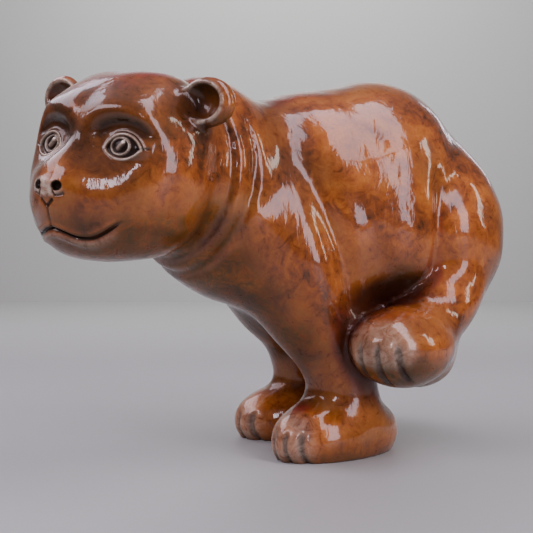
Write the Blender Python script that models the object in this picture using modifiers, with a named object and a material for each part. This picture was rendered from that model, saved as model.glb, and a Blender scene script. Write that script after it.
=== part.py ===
from math import cos, radians, sin

import bmesh
import bpy
import numpy as np
from mathutils import Matrix

# Bear cub that balances on its two forepaws, one hollow cast bronze.
# The head points to -X and is turned towards the bear's left, which is -Y. The soles stand at z = 0.

BEAR_HEIGHT = 0.381
DRAWN_HEIGHT = 381.0
UNIT = BEAR_HEIGHT / DRAWN_HEIGHT

# Every length below is drawn for a bear 381 high, and UNIT turns it into metres.
BOX_MIDDLE = (-48.0, -13.2, 0.0)
HEAD_PLACE = (-221.0, -30.0, 280.0)
HEAD_TURN = 28.0
HEAD_LEAN = 5.0

# A lump has a name, sides, centre, half sizes, turn in degrees and the width of its fillet.
# Sides: 1 is one lump, 2 is a mirrored pair, -2 is a mirrored pair of hollows.
BODY_LUMPS = (
    ("belly", 1, (56, 0, 266), (102, 112, 118), (0, 25, 0), 0),
    ("lower belly", 1, (62, 0, 207), (92, 106, 79), (0, 0, 0), 30),
    ("shoulders", 1, (-24, 0, 260), (80, 90, 102), (0, 0, 0), 36),
    ("neck", 1, (-134, -10, 276), (72, 78, 94), (0, 0, 0), 46),
    ("chest", 1, (-92, 0, 217), (78, 70, 65), (0, 35, 0), 40),
    ("left upper foreleg", 1, (-37, -46, 175), (57, 50, 88), (0, -20, 0), 35),
    ("right upper foreleg", 1, (-25, 44, 180), (54, 48, 80), (0, -17, 0), 35),
    ("rump", 1, (126, 0, 236), (88, 92, 96), (0, 20, 0), 30),
)
HEAD_LUMPS = (
    ("skull", 1, (-4, 0, 10), (76, 80, 74), (0, 0, 0), 0),
    ("temple", 2, (-14, 32, 26), (54, 44, 56), (0, 0, 0), 20),
    ("cheek", 2, (0, 32, -22), (56, 48, 58), (0, 0, 0), 30),
    ("muzzle", 1, (42, 0, -35), (48, 47, 36), (0, 0, 0), 35),
    ("nose bridge", 1, (54, 0, -10), (34, 20, 20), (0, 20, 0), 30),
    ("chin", 1, (34, 0, -59), (39, 33, 21), (0, 0, 0), 20),
    ("brow", 2, (36, 28, 38), (30, 28, 16), (0, 0, 0), 25),
    ("eye socket", -2, (80, 42, 25), (22, 26, 20), (0, 0, 0), 20),
    ("eyeball", 2, (42, 38, 14), (20, 21, 16), (0, 0, 0), 6),
    ("nose pad", 1, (86, 0, -20), (12, 15, 11), (0, 0, 0), 4),
)
EAR_LUMPS = (
    ("ear", 2, (-7, 85, 60), (14, 25, 22), (0, 0, 12), 0),
    ("ear hollow", -2, (11, 83, 60), (19, 20, 16), (0, 0, 12), 5),
)
FORELEG_LUMPS = (
    ("left foreleg", 1, (-1, -55, 80), (36, 34, 78), (0, -14, 0), 0),
    ("right foreleg", 1, (19, 52, 85), (33, 32, 80), (0, -16, 0), 0),
    ("left forepaw", 1, (-4, -53, 18), (78, 43, 42), (0, 0, 11), 20),
    ("right forepaw", 1, (14, 52, 18), (70, 42, 40), (0, 0, -10), 20),
)
HIND_LUMPS = (
    ("left thigh", 1, (125, -58, 221), (68, 60, 84), (0, -10, 0), 0),
    ("right thigh", 1, (132, 56, 226), (66, 58, 84), (0, -12, 0), 0),
    ("left shin", 1, (102, -80, 151), (66, 44, 38), (0, -38, 22), 18),
    ("right shin", 1, (112, 76, 156), (70, 44, 50), (0, -40, -14), 24),
    ("left hind paw", 1, (36, -110, 110), (68, 48, 40), (0, 0, 30), 20),
    ("left heel", 1, (76, -83, 101), (42, 38, 37), (0, 0, 30), 8),
    ("right hind paw", 1, (92, 92, 112), (64, 44, 40), (0, 0, -12), 18),
)
# Toes: the paw they belong to, where the creases lie across it, and their top, depth and width.
TOE_CREASES = (
    ("left forepaw", (22, 7, -8, -21), 16, 3.0, 2.4),
    ("right forepaw", (-22, -7, 8, 21), 16, 3.0, 2.4),
    ("left hind paw", (34, 17, -2, -21), 10, 4.0, 2.8),
    ("right hind paw", (-30, -12, 6, 24), 10, 3.5, 2.8),
)
TOE_FADE = 12.0
PAIR_SOFTNESS = 4.0
EAR_FILLET = 10.0
HEAD_FILLET = 12.0
FORELEG_FILLET = 25.0
HIND_FILLET_FRONT = 7.0
HIND_FILLET_REAR = 26.0
HIND_FILLET_REACH = (90.0, 160.0)

# Mouth line: distance from the middle of the face, and height in the head.
MOUTH_SIDE = (0, 9, 18, 28, 38, 48, 58)
MOUTH_HEIGHT = (-55.0, -57.5, -61.0, -62.5, -59.5, -52.5, -44.0)
MOUTH_DEPTH = 3.5
MOUTH_WIDTH = 3.2
MOUTH_BACK = 30.0
MOUTH_FRONT = 45.0
MOUTH_CORNER = 60.0
MOUTH_FADE = 10.0

# Folds of the neck lie on shells round the head: radius, depth and width.
NECK_FOLDS = ((98.5, 3.5, 5.0), (118.0, 3.5, 5.5))
FOLD_TOP = 345.0
FOLD_FULL = 315.0
FOLD_FRONT = 20.0
FOLD_REAR = -10.0

# The groove behind the shoulder starts high up and leans back as it goes down.
GROOVE_TOP = 303.0
GROOVE_START = -61.0
GROOVE_LEAN = 0.331
GROOVE_DEPTH = 8.0
GROOVE_WIDTH = 15.0
GROOVE_HEIGHTS = (120.0, 150.0, 200.0, 310.0)
GROOVE_SIDES = (40.0, 70.0)

THIGH_CREASE_PLACE = 80.0
THIGH_CREASE_DEPTH = 3.5
THIGH_CREASE_WIDTH = 7.0
THIGH_CREASE_HEIGHTS = (170.0, 195.0, 270.0, 300.0)
THIGH_CREASE_SIDES = (60.0, 90.0)

VOXEL_SIZES = (6.0, 4.0)
SETTLE_ROUNDS = 6
SETTLE_REACH = 4.0
SLOPE_STEP = 0.2
SOLE_SNAP = 1.2
FACE_TARGET = 9400


def turned(turn):
    """rotation that turns a lump about X, then Y, then Z"""
    around_x, around_y, around_z = (radians(angle) for angle in turn)
    roll = [[1, 0, 0], [0, cos(around_x), -sin(around_x)], [0, sin(around_x), cos(around_x)]]
    pitch = [[cos(around_y), 0, sin(around_y)], [0, 1, 0], [-sin(around_y), 0, cos(around_y)]]
    yaw = [[cos(around_z), -sin(around_z), 0], [sin(around_z), cos(around_z), 0], [0, 0, 1]]
    return np.array(yaw) @ np.array(pitch) @ np.array(roll)


# Columns: forward, left and up of the head, seen from the body.
HEAD_AXES = np.diag([-1.0, -1.0, 1.0]) @ turned((0, 0, HEAD_TURN)) @ turned((-HEAD_LEAN, 0, 0))


def bell(height, width):
    """one in the middle of a crease, falling to nothing either side"""
    return np.exp(-((height / width) ** 2))


def ramp(value, start, end):
    """eases from nothing at start to one at end"""
    share = np.clip((value - start) / (end - start), 0, 1)
    return share * share * (3 - 2 * share)


def ball(spots, at, size, turn):
    """distance to the skin of one lump"""
    inside = (spots - np.array(at, float)) @ turned(turn)
    scaled = np.sqrt(((inside / np.array(size, float)) ** 2).sum(1))
    steepness = np.sqrt(((inside / np.array(size, float) ** 2) ** 2).sum(1)) + 1e-9
    return scaled * (scaled - 1.0) / steepness


def joined(first, second, fillet):
    """two lumps pressed together with a fillet in the corner between them"""
    fillet = np.maximum(fillet, 0.01)
    near = np.maximum(fillet - np.abs(first - second), 0) / fillet
    return np.minimum(first, second) - near * near * fillet * 0.25


def modelled(spots, lumps, clay=None):
    """lumps added one after another to the clay"""
    beside = np.sqrt(spots[:, 1] ** 2 + PAIR_SOFTNESS ** 2)
    paired = np.stack([spots[:, 0], beside, spots[:, 2]], 1)
    for name, sides, at, size, turn, fillet in lumps:
        skin = ball(paired if abs(sides) == 2 else spots, at, size, turn)
        if clay is None:
            clay = skin
        elif sides < 0:
            clay = -joined(-clay, skin, fillet)
        else:
            clay = joined(clay, skin, fillet)
    return clay


def face_relief(spots):
    """depth of the mouth line, for places given in the head"""
    forward, side, height = spots[:, 0], np.abs(spots[:, 1]), spots[:, 2]
    line = np.interp(side, MOUTH_SIDE, MOUTH_HEIGHT)
    ends = ramp(forward, MOUTH_BACK, MOUTH_FRONT) * ramp(side, MOUTH_CORNER, MOUTH_CORNER - MOUTH_FADE)
    return MOUTH_DEPTH * bell(height - line, MOUTH_WIDTH) * ends


def neck_relief(spots, in_head):
    """depth of the folds that circle the neck behind the cheeks"""
    reach = np.sqrt((in_head ** 2).sum(1))
    depth = sum(deep * bell(reach - radius, wide) for radius, deep, wide in NECK_FOLDS)
    return depth * ramp(spots[:, 2], FOLD_TOP, FOLD_FULL) * ramp(in_head[:, 0], FOLD_FRONT, FOLD_REAR)


def flank_relief(spots):
    """depth of the groove between shoulder and belly"""
    along, side, height = spots[:, 0], np.abs(spots[:, 1]), spots[:, 2]
    across = along - GROOVE_START - GROOVE_LEAN * (GROOVE_TOP - height)
    foot, low, high, top = GROOVE_HEIGHTS
    ends = ramp(height, top, high) * ramp(height, foot, low) * ramp(side, *GROOVE_SIDES)
    return GROOVE_DEPTH * bell(across, GROOVE_WIDTH) * ends


def thigh_relief(spots):
    """depth of the crease in front of the thighs"""
    along, side, height = spots[:, 0], np.abs(spots[:, 1]), spots[:, 2]
    foot, low, high, top = THIGH_CREASE_HEIGHTS
    ends = ramp(height, top, high) * ramp(height, foot, low) * ramp(side, *THIGH_CREASE_SIDES)
    return THIGH_CREASE_DEPTH * bell(along - THIGH_CREASE_PLACE, THIGH_CREASE_WIDTH) * ends


def toe_relief(spots):
    """depth of the creases between the toes"""
    depth = np.zeros(len(spots))
    paws = {name: (at, size, turn) for name, sides, at, size, turn, fillet in FORELEG_LUMPS + HIND_LUMPS}
    for paw, creases, top, deep, wide in TOE_CREASES:
        at, size, turn = paws[paw]
        in_paw = (spots - np.array(at, float)) @ turned(turn)
        share = np.sqrt(((in_paw / np.array(size, float)) ** 2).sum(1))
        front = ramp(in_paw[:, 0] / size[0], -0.30, -0.60) * ramp(share, 1.5, 1.2)
        front = front * ramp(in_paw[:, 2], top, top - TOE_FADE)
        for across in creases:
            depth += deep * bell(in_paw[:, 1] - across, wide) * front
    return depth


def clay_height(spots):
    """how far each spot lies outside the bear's skin, less than nothing inside"""
    in_head = (spots - np.array(HEAD_PLACE)) @ HEAD_AXES
    skin = modelled(spots, BODY_LUMPS) + neck_relief(spots, in_head)
    head = joined(modelled(in_head, HEAD_LUMPS), modelled(in_head, EAR_LUMPS), EAR_FILLET)
    skin = joined(skin, head + face_relief(in_head), HEAD_FILLET)
    skin = joined(skin, modelled(spots, FORELEG_LUMPS), FORELEG_FILLET)
    skin = skin + flank_relief(spots)
    rear = ramp(spots[:, 0], *HIND_FILLET_REACH)
    hind_fillet = HIND_FILLET_FRONT + (HIND_FILLET_REAR - HIND_FILLET_FRONT) * rear
    skin = joined(skin, modelled(spots, HIND_LUMPS), hind_fillet)
    return skin + thigh_relief(spots) + toe_relief(spots)


def rough_lumps():
    """one ball for every lump, in place, as a first rough bear"""
    rough = bmesh.new()
    head = Matrix.Translation(HEAD_PLACE) @ Matrix(HEAD_AXES.tolist()).to_4x4()
    groups = (
        (BODY_LUMPS + FORELEG_LUMPS + HIND_LUMPS, Matrix.Identity(4)),
        (HEAD_LUMPS + EAR_LUMPS, head),
    )
    for lumps, place in groups:
        for name, sides, at, size, turn, fillet in lumps:
            if sides < 0:
                continue
            for mirror in (1, -1) if sides == 2 else (1,):
                flip = Matrix.Diagonal((1, mirror, 1, 1))
                posed = Matrix.Translation(at) @ Matrix(turned(turn).tolist()).to_4x4()
                shaped = place @ flip @ posed @ Matrix.Diagonal((*size, 1))
                bmesh.ops.create_uvsphere(rough, u_segments=32, v_segments=20, radius=1.0, matrix=shaped)
    bmesh.ops.recalc_face_normals(rough, faces=rough.faces)
    mesh = bpy.data.meshes.new("rough bear")
    rough.to_mesh(mesh)
    rough.free()
    return mesh


def with_modifier(mesh, kind, settings):
    """the mesh after one modifier"""
    carrier = bpy.data.objects.new("carrier", mesh)
    bpy.context.scene.collection.objects.link(carrier)
    modifier = carrier.modifiers.new(kind, kind)
    for name, value in settings.items():
        setattr(modifier, name, value)
    graph = bpy.context.evaluated_depsgraph_get()
    result = bpy.data.meshes.new_from_object(carrier.evaluated_get(graph))
    bpy.data.objects.remove(carrier)
    return result


def settled(mesh):
    """every point of the mesh moved onto the bear's skin"""
    spots = np.empty(len(mesh.vertices) * 3)
    mesh.vertices.foreach_get("co", spots)
    spots = spots.reshape(-1, 3)
    for round_number in range(SETTLE_ROUNDS):
        height = clay_height(spots)
        steps = np.eye(3) * SLOPE_STEP
        slope = np.stack([(clay_height(spots + step) - height) / SLOPE_STEP for step in steps], 1)
        push = height / np.maximum((slope ** 2).sum(1), 0.1)
        push = np.clip(push, -SETTLE_REACH, SETTLE_REACH)
        spots = spots - slope * push[:, None]
    mesh.vertices.foreach_set("co", spots.ravel())
    return mesh


def with_flat_soles(mesh):
    """the forepaws cut flat where they stand"""
    solid = bmesh.new()
    solid.from_mesh(mesh)
    for point in solid.verts:
        if abs(point.co.z) < SOLE_SNAP:
            point.co.z = 0.0
    everything = solid.verts[:] + solid.edges[:] + solid.faces[:]
    bmesh.ops.bisect_plane(
        solid, geom=everything, dist=0.0001, plane_co=(0, 0, 0), plane_no=(0, 0, 1), clear_inner=True
    )
    rims = [edge for edge in solid.edges if edge.is_boundary]
    bmesh.ops.holes_fill(solid, edges=rims, sides=0)
    bmesh.ops.triangulate(solid, faces=solid.faces)
    middle = np.array(BOX_MIDDLE)
    for point in solid.verts:
        point.co = (np.array(point.co) - middle) * UNIT
    bmesh.ops.recalc_face_normals(solid, faces=solid.faces)
    result = bpy.data.meshes.new("bear")
    solid.to_mesh(result)
    solid.free()
    return result


def patinated_bronze():
    """brown bronze under clear wax"""
    bronze = bpy.data.materials.new("bronze")
    bronze.use_nodes = True
    shader = bronze.node_tree.nodes["Principled BSDF"]
    shader.inputs["Base Color"].default_value = (0.42, 0.13, 0.035, 1.0)
    shader.inputs["Metallic"].default_value = 0.6
    shader.inputs["Roughness"].default_value = 0.3
    return bronze


for old in list(bpy.data.objects):
    bpy.data.objects.remove(old)

bear_mesh = rough_lumps()
for voxel in VOXEL_SIZES:
    bear_mesh = settled(with_modifier(bear_mesh, "REMESH", {"mode": "VOXEL", "voxel_size": voxel}))
share_kept = FACE_TARGET / (2 * len(bear_mesh.polygons))
bear_mesh = with_modifier(bear_mesh, "DECIMATE", {"ratio": share_kept})
bear_mesh = with_flat_soles(bear_mesh)
bear_mesh.materials.append(patinated_bronze())

bear = bpy.data.objects.new("bear", bear_mesh)
collection = bpy.data.collections.new("bear_sculpture")
bpy.context.scene.collection.children.link(collection)
collection.objects.link(bear)
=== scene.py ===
# %% [markdown]
# The real object is a bear cub in bronze, about as long as a forearm, that balances on its two
# forepaws with the hind legs tucked up. It was modelled in clay, cast in one piece, coloured with
# a brushed brown patina and waxed until it shines. This lesson rebuilds the clay in code, turns it
# into one mesh, and then colours, waxes and lights it.

# %% Load the measured model
from math import cos, radians, sin

import bmesh
import bpy
import numpy as np
from mathutils import Matrix, Vector


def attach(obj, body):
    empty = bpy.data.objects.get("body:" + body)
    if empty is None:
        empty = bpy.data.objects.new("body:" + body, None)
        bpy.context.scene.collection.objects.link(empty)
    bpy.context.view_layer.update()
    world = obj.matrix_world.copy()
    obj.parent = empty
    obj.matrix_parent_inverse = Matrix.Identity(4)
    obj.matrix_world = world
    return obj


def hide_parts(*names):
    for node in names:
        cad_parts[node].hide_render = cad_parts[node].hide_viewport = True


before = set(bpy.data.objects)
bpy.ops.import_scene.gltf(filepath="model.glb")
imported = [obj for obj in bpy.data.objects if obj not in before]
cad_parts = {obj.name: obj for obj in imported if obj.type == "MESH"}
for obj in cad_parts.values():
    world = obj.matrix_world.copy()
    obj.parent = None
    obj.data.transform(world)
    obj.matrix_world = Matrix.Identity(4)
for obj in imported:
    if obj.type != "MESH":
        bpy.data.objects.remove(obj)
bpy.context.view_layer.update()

# %% [markdown]
# A sculptor presses lumps of clay together and smooths the corner between them with a thumb. The
# same can be done with distances: each lump is a stretched ball, and a formula tells how far any
# spot in space lies outside its skin. The smaller of two distances joins two lumps, and a little
# taken off where both are near fills the corner. Taking a lump away hollows the clay. The lengths
# are in millimetres, the head points to -X and the soles stand at height 0.

# %% Tools for clay
UNIT = 0.001
BOX_MIDDLE = np.array([-48.0, -13.2, 0.0])
PAIR_SOFTNESS = 4.0
LEAST_FILLET = 0.01
TINY = 1e-9


def turned(turn):
    """rotation that turns a lump about X, then Y, then Z"""
    around_x, around_y, around_z = (radians(angle) for angle in turn)
    roll = [[1, 0, 0], [0, cos(around_x), -sin(around_x)], [0, sin(around_x), cos(around_x)]]
    pitch = [[cos(around_y), 0, sin(around_y)], [0, 1, 0], [-sin(around_y), 0, cos(around_y)]]
    yaw = [[cos(around_z), -sin(around_z), 0], [sin(around_z), cos(around_z), 0], [0, 0, 1]]
    return np.array(yaw) @ np.array(pitch) @ np.array(roll)


def folded(spots, softness=0.0):
    """places with one side laid over the other, the fold rounded by the softness"""
    beside = np.sqrt(spots[:, 1] ** 2 + softness ** 2)
    return np.stack([spots[:, 0], beside, spots[:, 2]], 1)


def bell(height, width):
    """one in the middle of a crease, falling to nothing either side"""
    return np.exp(-((height / width) ** 2))


def ramp(value, start, end):
    """eases from nothing at start to one at end"""
    share = np.clip((value - start) / (end - start), 0, 1)
    return share * share * (3 - 2 * share)


def ball(spots, at, size, turn):
    """distance to the skin of one stretched ball"""
    inside = (spots - np.array(at, float)) @ turned(turn)
    size = np.array(size, float)
    scaled = np.sqrt(((inside / size) ** 2).sum(1))
    steepness = np.sqrt(((inside / size ** 2) ** 2).sum(1)) + TINY
    return scaled * (scaled - 1.0) / steepness


def joined(first, second, fillet):
    """two lumps pressed together with a fillet in the corner between them"""
    fillet = np.maximum(fillet, LEAST_FILLET)
    near = np.maximum(fillet - np.abs(first - second), 0) / fillet
    return np.minimum(first, second) - near * near * fillet / 4


def modelled(spots, lumps, clay=None):
    """lumps added one after another to the clay"""
    paired = folded(spots, PAIR_SOFTNESS)
    for name, sides, at, size, turn, fillet in lumps:
        skin = ball(paired if abs(sides) == 2 else spots, at, size, turn)
        if clay is None:
            clay = skin
        elif sides < 0:
            clay = -joined(-clay, skin, fillet)
        else:
            clay = joined(clay, skin, fillet)
    return clay


def line_distance(across, up, start, end):
    """distance in a plane from a short straight stroke"""
    run = np.array(end, float) - np.array(start, float)
    share = ((across - start[0]) * run[0] + (up - start[1]) * run[1]) / (run @ run)
    share = np.clip(share, 0, 1)
    return np.hypot(across - start[0] - share * run[0], up - start[1] - share * run[1])


print("clay tools ready, one unit is", UNIT, "metres")

# %% [markdown]
# The body is a round belly with a rump, a shoulder mass and a thick neck that reaches forward. The
# list is short because a smooth animal needs few lumps: each has a name, its sides (1 is one lump,
# 2 a mirrored pair, -2 a pair of hollows), its centre, half sizes, turn in degrees and fillet. The
# fillet that joins the hind legs to the body is tight in front and widens towards the rump.

# %% Lumps of the body and legs
BODY_LUMPS = (
    ("belly", 1, (56, 0, 266), (102, 112, 118), (0, 25, 0), 0),
    ("lower belly", 1, (62, 0, 207), (92, 106, 79), (0, 0, 0), 30),
    ("shoulders", 1, (-24, 0, 260), (80, 90, 102), (0, 0, 0), 36),
    ("neck", 1, (-134, -10, 276), (72, 78, 94), (0, 0, 0), 46),
    ("chest", 1, (-92, 0, 217), (78, 70, 65), (0, 35, 0), 40),
    ("left upper foreleg", 1, (-37, -46, 175), (57, 50, 88), (0, -20, 0), 35),
    ("right upper foreleg", 1, (-25, 44, 180), (54, 48, 80), (0, -17, 0), 35),
    ("rump", 1, (126, 0, 236), (88, 92, 96), (0, 20, 0), 30),
)
FORELEG_LUMPS = (
    ("left foreleg", 1, (-1, -55, 80), (36, 34, 78), (0, -14, 0), 0),
    ("right foreleg", 1, (19, 52, 85), (33, 32, 80), (0, -16, 0), 0),
    ("left forepaw", 1, (-4, -53, 18), (78, 43, 42), (0, 0, 11), 20),
    ("right forepaw", 1, (14, 52, 18), (70, 42, 40), (0, 0, -10), 20),
)
HIND_LUMPS = (
    ("left thigh", 1, (125, -58, 221), (68, 60, 84), (0, -10, 0), 0),
    ("right thigh", 1, (132, 56, 226), (66, 58, 84), (0, -12, 0), 0),
    ("left shin", 1, (102, -80, 151), (66, 44, 38), (0, -38, 22), 18),
    ("right shin", 1, (112, 76, 156), (70, 44, 50), (0, -40, -14), 24),
    ("left hind paw", 1, (36, -110, 110), (68, 48, 40), (0, 0, 30), 20),
    ("left heel", 1, (76, -83, 101), (42, 38, 37), (0, 0, 30), 8),
    ("right hind paw", 1, (92, 92, 112), (64, 44, 40), (0, 0, -12), 18),
)
HEAD_FILLET = 12.0
FORELEG_FILLET = 25.0
HIND_FILLET_FRONT = 7.0
HIND_FILLET_REAR = 26.0
HIND_FILLET_REACH = (90.0, 160.0)
print(len(BODY_LUMPS + FORELEG_LUMPS + HIND_LUMPS), "lumps in body and legs")

# %% [markdown]
# The head is turned towards the viewer, so it is modelled in its own directions: forward, left and
# up. Pairs of lumps make temples, cheeks and brows. The eyes sit in hollows under the brows, and
# the nose pad stands out at the end of a short muzzle. Each ear is a thick disc with a smaller ball
# pressed out of its front. Eyes and muzzle are each shifted a little sideways as a group, to sit
# where the photograph shows them.

# %% Lumps of the head
HEAD_PLACE = np.array([-221.0, -30.0, 280.0])
HEAD_TURN = 28.0
HEAD_LEAN = 5.0
HEAD_AXES = np.diag([-1.0, -1.0, 1.0]) @ turned((0, 0, HEAD_TURN)) @ turned((-HEAD_LEAN, 0, 0))
HEAD_LUMPS = (
    ("skull", 1, (-4, 0, 10), (76, 80, 74), (0, 0, 0), 0),
    ("temple", 2, (-14, 32, 26), (54, 44, 56), (0, 0, 0), 20),
    ("cheek", 2, (0, 32, -22), (56, 48, 58), (0, 0, 0), 30),
    ("muzzle", 1, (42, 0, -35), (48, 47, 36), (0, 0, 0), 35),
    ("nose bridge", 1, (54, 0, -10), (34, 20, 20), (0, 20, 0), 30),
    ("chin", 1, (34, 0, -59), (39, 33, 21), (0, 0, 0), 28),
)
EYE_SHIFT = np.array([0.0, 6.5, 0.0])
MUZZLE_SHIFT = np.array([0.0, -2.0, 0.0])
EYE_LUMPS = (
    ("brow", 2, (36, 28, 38), (30, 28, 16), (0, 0, 0), 25),
    ("eye socket", -2, (80, 40, 25), (22, 26, 20), (0, 0, 0), 20),
    ("eyeball", 2, (42, 37.5, 14), (20, 21, 16), (0, 0, 0), 6),
)
NOSE_LUMPS = (
    ("nose pad", 1, (85.5, 0, -23), (11.5, 19.5, 11.5), (0, 0, 0), 3),
)
EAR_LUMPS = (
    ("ear", 2, (-7, 85, 60), (14, 25, 22), (0, 0, 12), 0),
    ("ear hollow", -2, (11, 82, 60), (19, 22.3, 18.6), (0, 0, 12), 3),
)
EAR_FILLET = 10.0


def in_head_of(spots):
    """places measured in the head: forward, left and up"""
    return (spots - HEAD_PLACE) @ HEAD_AXES


print(len(HEAD_LUMPS + EYE_LUMPS + NOSE_LUMPS + EAR_LUMPS), "lumps and hollows in the head")

# %% [markdown]
# The eyes are carved as lines: two lid rims that meet in corners, a fold above the upper lid, a
# raised ring for the iris and a small raised comma that stands for the light in the pupil. Each eye
# is worked out in its own plane, outward and up from the middle of the iris. Two circles that cross
# give the almond of the lids. A positive depth cuts into the clay and a negative one raises it. A
# pair of numbers named as an edge, rise, end or fade is where a line starts and where it is full.

# %% Eyes
# Each eye has its side, the middle of its iris and its width as a share.
EYES = ((1, np.array([61.0, 44.7, 15.3]), 1.0), (-1, np.array([61.0, -32.5, 15.0]), 0.9))
EYE_OUTWARD_TURN = radians(20)
EYE_FADE = (34, 28)
EYE_DEPTH_FADE = (20, 12)
# Each lid is a circle, with its middle and its radius.
LID_UPPER = ((2.1, -7.0), 16.6)
LID_LOWER = ((2.1, 9.1), 19.3)
LID_EDGE = (0.3, -0.7)
# Three lines run outside the lids, each at its own distance from them and with its own width.
RIM_OUT, RIM_WIDTH = 0.9, 0.85
LID_FOLD_OUT, LID_FOLD_WIDTH = 2.5, 0.6
CREST_OUT, CREST_WIDTH = 3.7, 0.8
LID_FOLD_RISE = (-4, 1)
LID_FOLD_END = (-9, 0)
IRIS_RADIUS = 7.3
IRIS_WIDENING = 1.2
RING_WIDTH = 0.7
RING_EDGE = (0.1, -0.6)
DROP_PLACE = (3.0, 3.8)
DROP_EDGE = (2.9, 1.4)
COMMA_TAIL = ((2.6, 3.4), (-2.0, -1.8))
COMMA_WIDTH = 1.4
CORNER_LINE = ((17.0, -2.2), (25.0, -0.9))
CORNER_WIDTH = 0.8
SOCKET_RADIUS = 19.5
SOCKET_WIDENING = 1.25
SOCKET_WIDTH = 5.0
SOCKET_RISE = (4, 13)
SOCKET_DEPTH_FADE = (32, 22)
EYE_DEPTHS = {
    "inside": 2.6, "rim": -0.8, "fold": 0.9, "crest": -0.5,
    "ring": -2.2, "comma": -2.2, "corner": 1.1, "socket": 2.2,
}


def eye_plane(in_head, side, middle):
    """outward, up and forward distances from the middle of one iris"""
    from_eye = in_head - middle
    outward = np.array([-sin(EYE_OUTWARD_TURN), side * cos(EYE_OUTWARD_TURN), 0.0])
    ahead = np.array([cos(EYE_OUTWARD_TURN), side * sin(EYE_OUTWARD_TURN), 0.0])
    return from_eye @ outward, from_eye[:, 2], from_eye @ ahead


def eye_lines(in_head, side, middle, width):
    """how strongly a spot lies on the hollow, the rims, the folds and the comma of one eye"""
    outward, up, ahead = eye_plane(in_head, side, middle)
    outward = outward / width
    depth = np.abs(ahead)
    (upper_x, upper_y), upper_radius = LID_UPPER
    (lower_x, lower_y), lower_radius = LID_LOWER
    upper = np.hypot(outward - upper_x, up - upper_y) - upper_radius
    lower = np.hypot(outward - lower_x, up - lower_y) - lower_radius
    lids = np.maximum(upper, lower)
    here = ramp(depth, *EYE_DEPTH_FADE) * ramp(np.hypot(outward, up), *EYE_FADE)
    above = ramp(up, *LID_FOLD_RISE) * ramp(outward, *LID_FOLD_END)
    iris = np.hypot(outward / IRIS_WIDENING, up)
    inside = ramp(lids, *LID_EDGE)
    drop = np.hypot(side * outward - DROP_PLACE[0], up - DROP_PLACE[1])
    tail = line_distance(side * outward, up, *COMMA_TAIL)
    corner = line_distance(outward, up, *CORNER_LINE)
    arch = np.hypot(outward / SOCKET_WIDENING, up) - SOCKET_RADIUS
    return {
        "inside": inside * here,
        "rim": bell(lids - RIM_OUT, RIM_WIDTH) * here,
        "fold": bell(lids - LID_FOLD_OUT, LID_FOLD_WIDTH) * above * here,
        "crest": bell(lids - CREST_OUT, CREST_WIDTH) * above * here,
        "ring": bell(iris - IRIS_RADIUS, RING_WIDTH) * ramp(lids, *RING_EDGE) * here,
        "comma": np.maximum(ramp(drop, *DROP_EDGE), bell(tail, COMMA_WIDTH)) * inside * here,
        "corner": bell(corner, CORNER_WIDTH) * here,
        "socket": bell(arch, SOCKET_WIDTH)
        * ramp(up, *SOCKET_RISE)
        * ramp(depth, *SOCKET_DEPTH_FADE),
    }


def eye_relief(in_head):
    """depth of the carving of both eyes"""
    depth = np.zeros(len(in_head))
    for eye in EYES:
        lines = eye_lines(in_head, *eye)
        depth += sum(deep * lines[name] for name, deep in EYE_DEPTHS.items())
    return depth


print("eye carving:", len(EYE_DEPTHS), "lines to each eye")

# %% [markdown]
# The mouth is one long smiling line that starts under the nose, dips below the muzzle and climbs
# into the cheek. Its height is read off a short list of places along the face. It is steep on its
# upper side, where the lip hangs over, and the lower lip is a soft ridge below it. Each nostril is
# a round pit with a thin tail that curls under the wing of the nose, and a groove joins the nose
# to the mouth.

# %% Mouth and nose
MOUTH_SIDE = (0, 5, 10, 18, 27, 36, 46, 52, 62)
MOUTH_HEIGHT = (-57.0, -58.0, -59.5, -63.0, -65.0, -62.0, -54.0, -49.0, -42.0)
MOUTH_EASING = (-5.0, -2.5, 0.0, 2.5, 5.0)
MOUTH_ABOVE = 0.8
MOUTH_BELOW = 1.5
MOUTH_FADE = (28, 42)
MOUTH_END = (55, 44)
OVERHANG_RISE = 3.0
OVERHANG_WIDTH = 2.0
LIP_DROP = 5.5
LIP_WIDTH = 3.0
LIP_END = (52, 42)
NOSE_FADE = (62, 72)
# A nostril has its place and its half sizes, as side and height.
NOSTRIL = ((10.5, -21.5), (4.8, 4.3))
NOSTRIL_EDGE = (1.1, 0.6)
NOSTRIL_SHADE = (1.2, 0.95)
NOSTRIL_TAIL = ((6.5, -25.0), (9.0, -30.0), (16.0, -28.0))
NOSTRIL_TAIL_WIDTH = 1.2
LIP_GROOVE = ((0, -39), (0, -57))
NOSE_WINGS = ((6, -33.5), (0, -39.5))
NOSE_LINE_WIDTH = 1.1
MUZZLE_DEPTHS = {
    "mouth": 2.6, "overhang": -0.8, "lip": -1.7, "nostril": 5.5,
    "tail": 1.6, "groove": 1.3, "wings": 1.7,
}


def mouth_height(side):
    """height of the mouth line, eased round its bends"""
    heights = [np.interp(side + apart, MOUTH_SIDE, MOUTH_HEIGHT) for apart in MOUTH_EASING]
    return sum(heights) / len(heights)


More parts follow.
